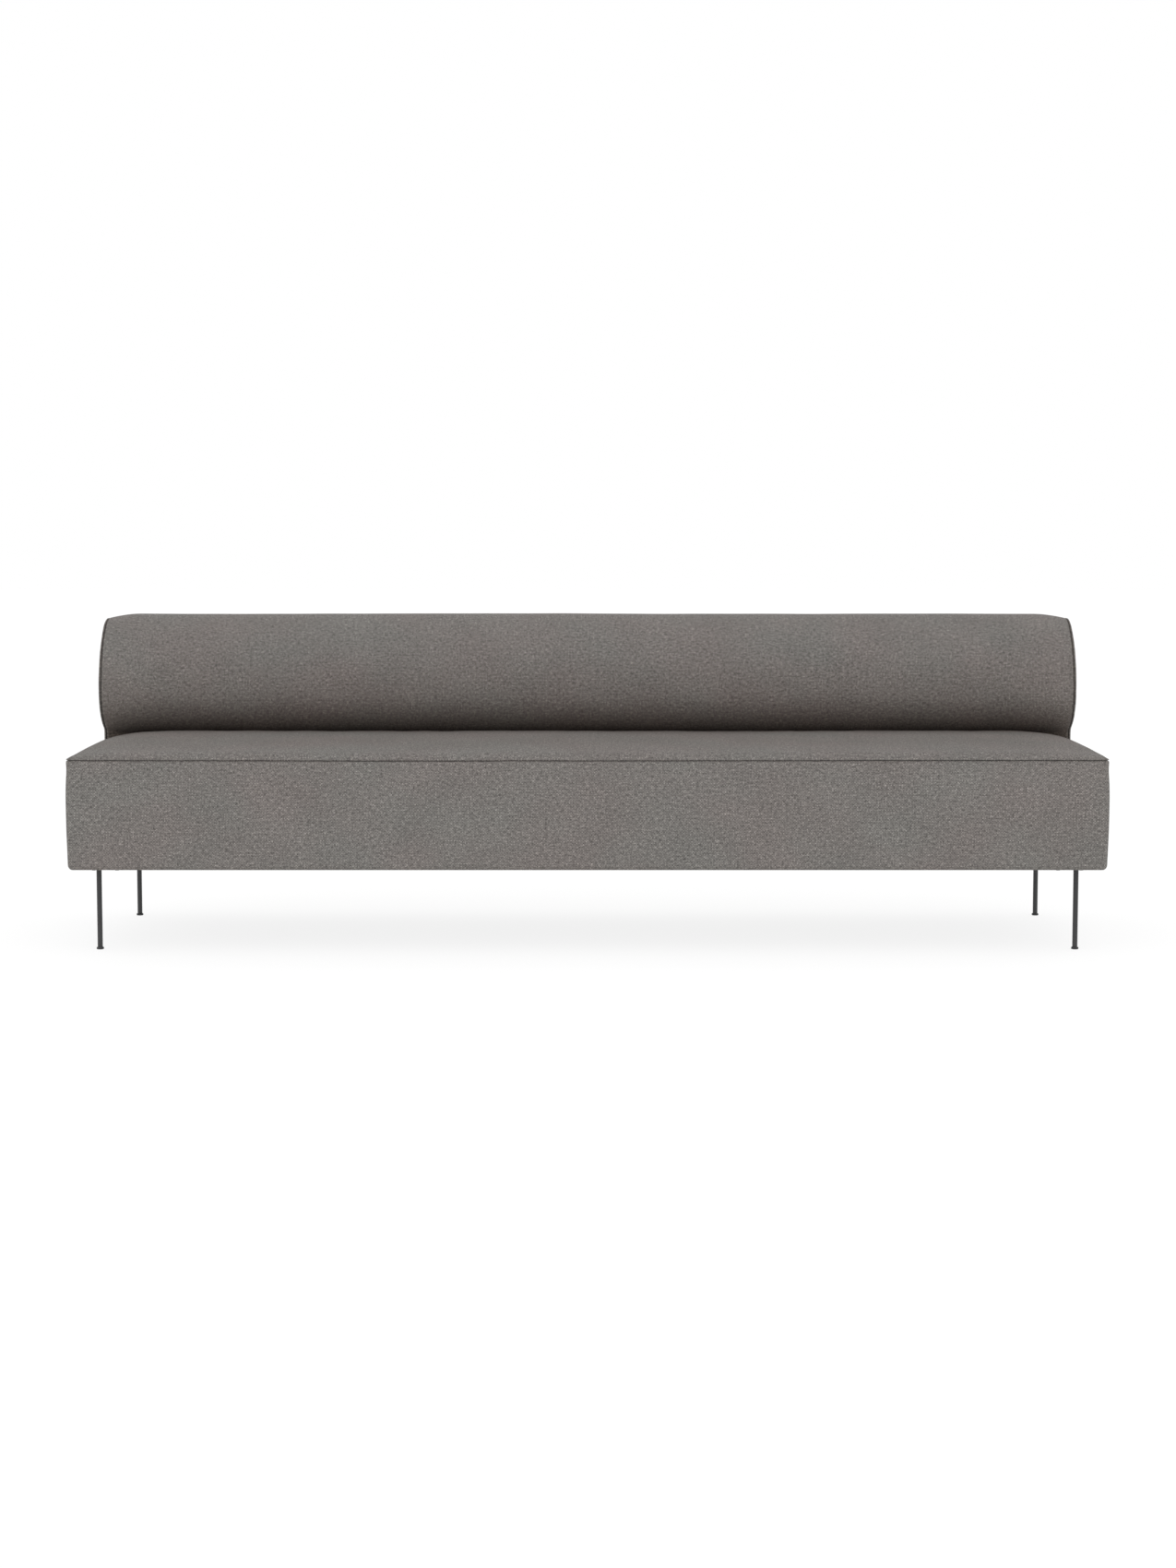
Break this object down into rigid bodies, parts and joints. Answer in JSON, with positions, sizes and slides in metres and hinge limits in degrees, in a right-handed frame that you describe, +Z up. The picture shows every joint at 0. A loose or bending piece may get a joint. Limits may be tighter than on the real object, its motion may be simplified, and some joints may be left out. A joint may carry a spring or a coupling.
{
  "type": "sofa",
  "caption": "Long armless sofa with a crowned bench seat, a low rolled back on a neck and slim round rod legs with levelling glides.",
  "frame": {"origin": "on the floor, under the middle of the sofa's box", "axes": "+X along the sofa to the right seen from the front, +Y to the back, +Z up"},
  "size_m": [2.4, 0.69, 0.7664],
  "materials": {
    "melange_cloth": "warm mid-grey melange woven wool blend",
    "underside_cloth": "black non-woven dust cloth",
    "webbing": "elastic woven webbing",
    "foam": "polyurethane foam, stated as fabric",
    "pine": "planed softwood",
    "plywood": "birch plywood",
    "leg_powder_coat": "matte charcoal powder coat",
    "zinc_steel": "zinc-plated steel",
    "glide_nylon": "moulded nylon"
  },
  "bodies": {
    "sofa": {"back_batten_front": "pine", "back_batten_lower": "pine", "back_batten_rear": "pine", "back_batten_top": "pine", "back_cover": "melange_cloth", "back_end_pad_left": "foam", "back_end_pad_right": "foam", "back_end_panel_left": "melange_cloth", "back_end_panel_right": "melange_cloth", "back_foam": "foam", "back_former_left": "plywood", "back_former_left_end": "plywood", "back_former_middle": "plywood", "back_former_right": "plywood", "back_former_right_end": "plywood", "back_front_skin": "plywood", "back_rear_skin": "plywood", "back_rest_rail": "pine", "border_padding": "foam", "corner_block_front_left": "pine", "corner_block_front_right": "pine", "corner_block_rear_left": "pine", "corner_block_rear_right": "pine", "cross_rail_left": "pine", "cross_rail_middle": "pine", "cross_rail_right": "pine", "dust_cover": "underside_cloth", "front_rail": "pine", "leg_front_left": "leg_powder_coat", "leg_front_right": "leg_powder_coat", "leg_rear_left": "leg_powder_coat", "leg_rear_right": "leg_powder_coat", "rear_rail": "pine", "seat_border_cover": "melange_cloth", "seat_foam": "foam", "seat_straps_cross": "webbing", "seat_straps_long": "webbing", "seat_top_cover": "melange_cloth", "side_rail_left": "pine", "side_rail_right": "pine"},
    "front_left_glide": {"glide_front_left": "glide_nylon", "glide_stud_front_left": "zinc_steel"},
    "front_right_glide": {"glide_front_right": "glide_nylon", "glide_stud_front_right": "zinc_steel"},
    "rear_left_glide": {"glide_rear_left": "glide_nylon", "glide_stud_rear_left": "zinc_steel"},
    "rear_right_glide": {"glide_rear_right": "glide_nylon", "glide_stud_rear_right": "zinc_steel"}
  },
  "joints": [
    {"name": "front_left_glide_slide", "type": "slide", "parent": "sofa", "child": "front_left_glide", "axis": [0, 0, -1], "range_m": [0, 0.008]},
    {"name": "front_right_glide_slide", "type": "slide", "parent": "sofa", "child": "front_right_glide", "axis": [0, 0, -1], "range_m": [0, 0.008]},
    {"name": "rear_left_glide_slide", "type": "slide", "parent": "sofa", "child": "rear_left_glide", "axis": [0, 0, -1], "range_m": [0, 0.008]},
    {"name": "rear_right_glide_slide", "type": "slide", "parent": "sofa", "child": "rear_right_glide", "axis": [0, 0, -1], "range_m": [0, 0.008]}
  ]
}
